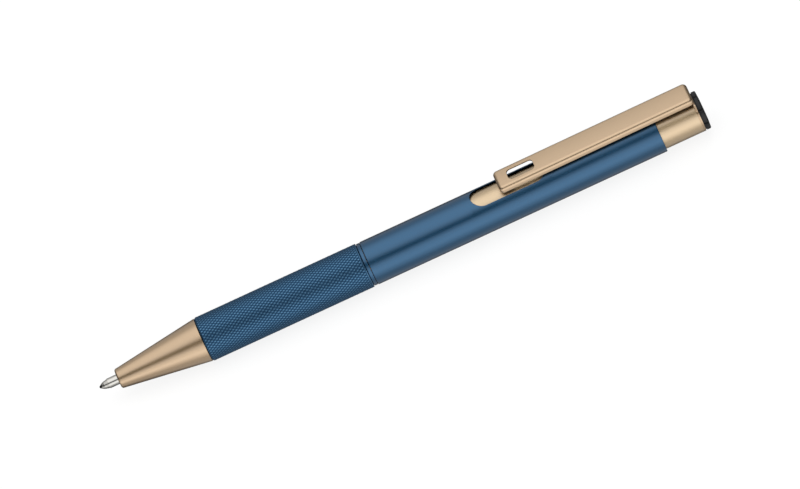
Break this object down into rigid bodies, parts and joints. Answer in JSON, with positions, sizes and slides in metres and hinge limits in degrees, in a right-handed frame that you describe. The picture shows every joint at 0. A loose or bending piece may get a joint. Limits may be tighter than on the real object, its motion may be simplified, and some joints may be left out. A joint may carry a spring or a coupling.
{
  "type": "retractable ballpoint pen",
  "caption": "Slim metal ballpoint pen with a knurled grip, a windowed barrel, a push end whose sheet clip moves with it, and a front half that unscrews.",
  "frame": {"origin": "under the middle of the pen's length, on its centre plane, level with the lowest line of the grip", "axes": "+X along the pen from the writing point to the push end, +Z from the pen's axis towards the clip, +Y across the clip"},
  "size_m": [0.1402, 0.01, 0.0121],
  "materials": {
    "champagne_metal": "champagne anodised, satin",
    "blue_metal": "blue anodised, satin",
    "blue_knurl": "blue anodised, fine diamond knurl",
    "nickel": "turned nickel silver",
    "carbide": "ground ball",
    "spring_wire": "drawn wire",
    "brass": "turned",
    "white_plastic": "moulded",
    "latch_plastic": "moulded acetal",
    "clear_plastic": "clear extruded",
    "blue_ink": "liquid",
    "grease": "clear gel",
    "black_plastic": "moulded, satin"
  },
  "bodies": {
    "barrel": {"barrel": "blue_metal", "coupling": "brass", "guide_tube": "latch_plastic"},
    "ring": {"trim_ring": "blue_metal"},
    "front": {"nose_cone": "champagne_metal", "grip_tube": "blue_knurl", "spring": "spring_wire"},
    "plunger": {"plunger_tube": "champagne_metal", "plunger_bush": "white_plastic", "pusher": "latch_plastic", "end_cap": "black_plastic", "clip_foot": "champagne_metal"},
    "clip": {"clip": "champagne_metal"},
    "refill": {"writing_ball": "carbide", "point_socket": "nickel", "refill_adapter": "white_plastic", "refill_tube": "clear_plastic", "ink": "blue_ink", "ink_follower": "grease"},
    "rotor": {"rotor": "latch_plastic"}
  },
  "joints": [
    {"name": "push_slide", "type": "slide", "parent": "barrel", "child": "plunger", "axis": [1, 0, 0], "range_m": [-0.0013, 0.0055]},
    {"name": "refill_slide", "type": "slide", "parent": "barrel", "child": "refill", "axis": [1, 0, 0], "range_m": [-0.00131, 0.00551], "deforming": ["spring"]},
    {"name": "rotor_turn", "type": "hinge", "parent": "refill", "child": "rotor", "pos_m": [0.0369, 0, 0.005], "axis": [1, 0, 0], "range_deg": [-10.7, 45.1]},
    {"name": "clip_lift", "type": "hinge", "parent": "plunger", "child": "clip", "pos_m": [0.0686, 0, 0.0104], "axis": [0, 1, 0], "range_deg": [0, 2], "stiffness_Nm_per_rad": 3},
    {"name": "front_turn", "type": "hinge", "parent": "barrel", "child": "ring", "pos_m": [-0.00795, 0, 0.005], "axis": [-1, 0, 0], "range_deg": [0, 2520]},
    {"name": "front_slide", "type": "slide", "parent": "ring", "child": "front", "axis": [-1, 0, 0], "range_m": [0, 0.00561]}
  ],
  "couplings": [
    {"joint": "refill_slide", "follows": "push_slide", "ratio": 1},
    {"joint": "rotor_turn", "follows": "push_slide", "rad_per_m": 142.8},
    {"joint": "front_slide", "follows": "front_turn", "m_per_rad": 0.00012732}
  ]
}
